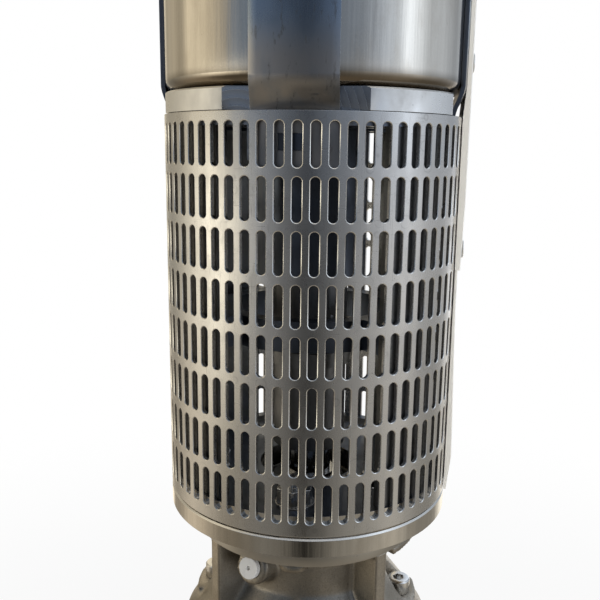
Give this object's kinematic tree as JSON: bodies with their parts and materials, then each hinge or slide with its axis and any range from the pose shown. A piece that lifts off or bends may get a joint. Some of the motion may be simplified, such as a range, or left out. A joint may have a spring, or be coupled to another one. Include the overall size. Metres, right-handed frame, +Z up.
{
  "type": "submersible borehole pump",
  "caption": "Multistage submersible borehole pump with slotted suction strainer, canned motor below and non-return valve outlet above.",
  "frame": {"origin": "centre of the motor's foot, on the surface it stands on", "axes": "+Z up along the shaft line to the outlet, -Y to the front strap, +X to the cable guard"},
  "size_m": [0.17, 0.17, 1.1504],
  "materials": {
    "strainer_sheet": "satin sheet with bright deburred slot rims",
    "polished_sheet": "polished deep-drawn sheet",
    "strap_steel": "smooth rolled bar, slightly stained",
    "guard_sheet": "bright rolled sheet",
    "motor_sheet": "drawn tube, satin",
    "cast_steel": "investment casting, blasted, fine grain",
    "machined_steel": "turned and milled",
    "shaft_steel": "ground",
    "formed_steel": "pressed and welded sheet",
    "fastener_steel": "bright stainless fasteners",
    "spring_steel": "drawn wire",
    "black_rubber": "moulded nitrile rubber",
    "carbon": "lapped carbon",
    "pad_steel": "lapped stainless",
    "core_iron": "laminated steel",
    "winding_copper": "enamelled copper windings",
    "white_plastic": "moulded plastic, satin"
  },
  "bodies": {
    "casing": {"bottom_end_bell": "cast_steel", "cable_bush": "black_rubber", "cable_gland": "fastener_steel", "cable_guard_lower": "guard_sheet", "cable_guard_upper": "guard_sheet", "clamp_ring": "cast_steel", "cover_screws": "fastener_steel", "diaphragm": "black_rubber", "diaphragm_cover": "machined_steel", "diffuser_1": "formed_steel", "diffuser_2": "formed_steel", "end_bell_screws": "fastener_steel", "fill_plug": "white_plastic", "foot_screws": "fastener_steel", "guard_screws": "fastener_steel", "inlet_bearing": "black_rubber", "lower_bearing_bracket": "cast_steel", "lower_bearing_bush": "carbon", "motor_nuts": "fastener_steel", "motor_sleeve": "motor_sheet", "motor_studs": "fastener_steel", "motor_washers": "fastener_steel", "neck_rings": "black_rubber", "seat_retainer": "cast_steel", "shaft_seal": "carbon", "stage_bearings": "black_rubber", "stage_bowl_1": "polished_sheet", "stage_bowl_2": "polished_sheet", "stator_core": "core_iron", "stator_liner": "motor_sheet", "stator_windings": "winding_copper", "strainer": "strainer_sheet", "strap_back": "strap_steel", "strap_bolts": "fastener_steel", "strap_front": "strap_steel", "strap_left": "strap_steel", "strap_right": "strap_steel", "strap_washers": "fastener_steel", "suction_interconnector": "machined_steel", "thrust_pads": "pad_steel", "thrust_plate": "pad_steel", "top_end_bell": "cast_steel", "upper_bearing_bush": "carbon", "valve_casing": "cast_steel", "valve_guide": "cast_steel", "valve_seat": "black_rubber", "valve_spring": "spring_steel"},
    "rotor": {"rotor_core": "core_iron", "motor_shaft": "shaft_steel", "thrust_disc": "carbon", "sand_guard": "black_rubber", "coupling": "shaft_steel", "coupling_screws": "fastener_steel", "pump_shaft": "shaft_steel", "impeller_1": "formed_steel", "impeller_2": "formed_steel", "split_cones": "shaft_steel", "cone_nuts": "shaft_steel"},
    "valve": {"valve_disc": "shaft_steel"}
  },
  "joints": [
    {"name": "rotor_spin", "type": "hinge", "parent": "casing", "child": "rotor", "pos_m": [0, 0, 0.6], "axis": [0, 0, 1], "continuous": true},
    {"name": "valve_lift", "type": "slide", "parent": "casing", "child": "valve", "axis": [0, 0, 1], "range_m": [0, 0.015], "stiffness_N_per_m": 300, "springref_m": -0.01, "deforming": ["valve_spring"]}
  ]
}
